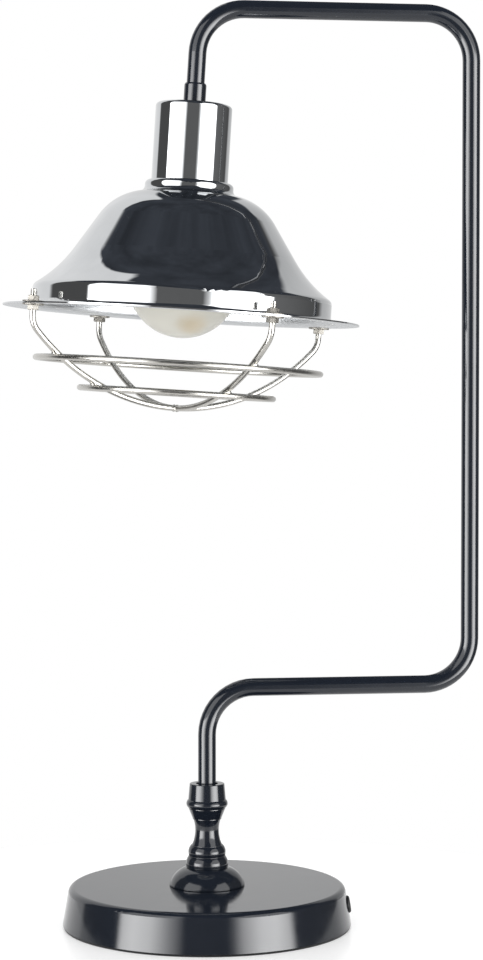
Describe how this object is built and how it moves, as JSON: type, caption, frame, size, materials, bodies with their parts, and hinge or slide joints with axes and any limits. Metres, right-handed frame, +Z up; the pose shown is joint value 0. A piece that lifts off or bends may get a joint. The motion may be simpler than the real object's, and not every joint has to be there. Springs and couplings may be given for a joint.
{
  "type": "task lamp",
  "caption": "Task lamp with a round weighted base, a turned column, a bent tube arm that swivels in its collar, and a chrome bell shade with a wire guard round a frosted bulb.",
  "frame": {"origin": "centre of the felt's underside, on the column's axis", "axes": "+Z up the column; +X along the arm's lower run towards its tall post; -Y is the side seen in the picture"},
  "size_m": [0.3224, 0.238, 0.62],
  "materials": {
    "black_enamel": "gloss black stoved enamel on steel",
    "bright_chrome": "polished bright chrome plating on steel",
    "nickel_wire": "bright nickel plated steel wire",
    "nickel_hardware": "nickel plated steel hardware",
    "iron_casting": "raw grey iron",
    "fibre_board": "hard fibre board",
    "black_felt": "pressed wool felt",
    "black_rubber": "moulded rubber",
    "zinc_steel": "zinc plated steel",
    "nylon": "natural nylon",
    "black_phenolic": "moulded black phenolic",
    "brass": "drawn brass",
    "frosted_glass": "frosted cream glass",
    "clear_glass": "clear soft glass",
    "bulb_cap_metal": "rolled aluminium and solder",
    "black_vitrite": "black vitrite glass",
    "bulb_wire": "nickel and tungsten wire"
  },
  "bodies": {
    "base": {"base_cover": "black_enamel", "base_weight": "iron_casting", "base_plate": "fibre_board", "felt_pad": "black_felt", "cord_bushing": "black_rubber", "base_rod": "zinc_steel", "rod_washer": "zinc_steel", "rod_nut": "zinc_steel", "column_foot": "black_enamel", "column_body": "black_enamel", "arm_collar": "black_enamel", "swivel_bushes": "nylon", "thrust_washer": "nylon"},
    "arm": {"arm_tube": "black_enamel", "bulb_cap": "bulb_cap_metal", "bulb_filament": "bulb_wire", "bulb_glass": "frosted_glass", "bulb_insulator": "black_vitrite", "bulb_leads": "bulb_wire", "bulb_stem": "clear_glass", "bulb_tip": "bulb_cap_metal", "centre_contact": "brass", "guard_long_wire": "nickel_wire", "guard_lower_nuts": "nickel_hardware", "guard_lower_ring": "nickel_wire", "guard_lower_washers": "nickel_hardware", "guard_short_wires": "nickel_wire", "guard_upper_nuts": "nickel_hardware", "guard_upper_ring": "nickel_wire", "guard_upper_washers": "nickel_hardware", "head_coupler": "black_enamel", "head_nut": "zinc_steel", "head_rod": "zinc_steel", "lampholder_body": "black_phenolic", "lampholder_cap": "black_phenolic", "lampholder_shell": "brass", "shade": "bright_chrome", "shade_ring": "black_phenolic", "socket_cup": "bright_chrome", "spring_washer": "zinc_steel", "stop_pin": "zinc_steel", "switch_ferrule": "bright_chrome", "swivel_nut": "zinc_steel", "swivel_stud": "zinc_steel"},
    "switch": {"switch_shaft": "zinc_steel", "switch_knob": "black_phenolic"}
  },
  "joints": [
    {"name": "arm_swivel", "type": "hinge", "parent": "base", "child": "arm", "pos_m": [0, 0, 0.0793], "axis": [0, 0, 1], "range_deg": [-163, 163]},
    {"name": "switch_turn", "type": "hinge", "parent": "arm", "child": "switch", "pos_m": [-0.00933, 0, 0.53406], "axis": [0, 1, 0], "continuous": true}
  ]
}
